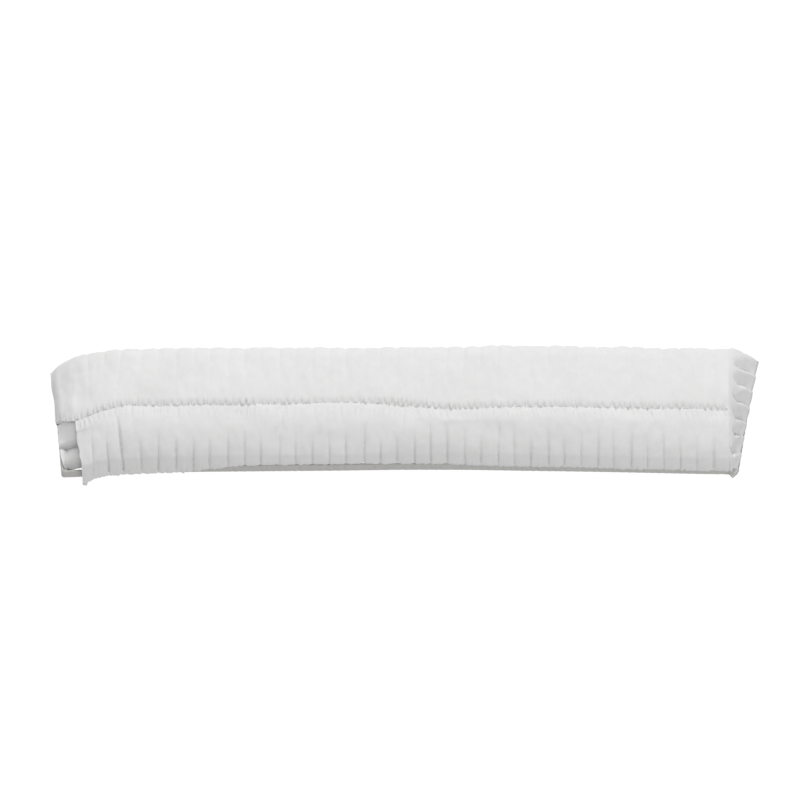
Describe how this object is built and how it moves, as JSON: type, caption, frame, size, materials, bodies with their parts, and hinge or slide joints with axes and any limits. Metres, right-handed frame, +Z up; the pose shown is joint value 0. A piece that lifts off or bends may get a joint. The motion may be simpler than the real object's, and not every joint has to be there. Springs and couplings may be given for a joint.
{
  "type": "disposable clip cap",
  "caption": "Pleated nonwoven hygiene cap in its flat folded form: a ribbed strip with a lengthwise crease and an elastic rim band round its open mouth.",
  "frame": {"origin": "middle of the bounding box's base, on the surface that the folded cap lies on", "axes": "+X along the strip towards the sloping flap end, +Y from the front panel to the rear panel, +Z up, mouth down"},
  "size_m": [0.2546, 0.0528, 0.0149],
  "materials": {
    "nonwoven": "matte white spunbond nonwoven",
    "rim_band": "matte off-white gathered nonwoven over elastic"
  },
  "bodies": {
    "root": {"pleated_crown": "nonwoven", "elastic_hem": "rim_band"}
  },
  "joints": []
}
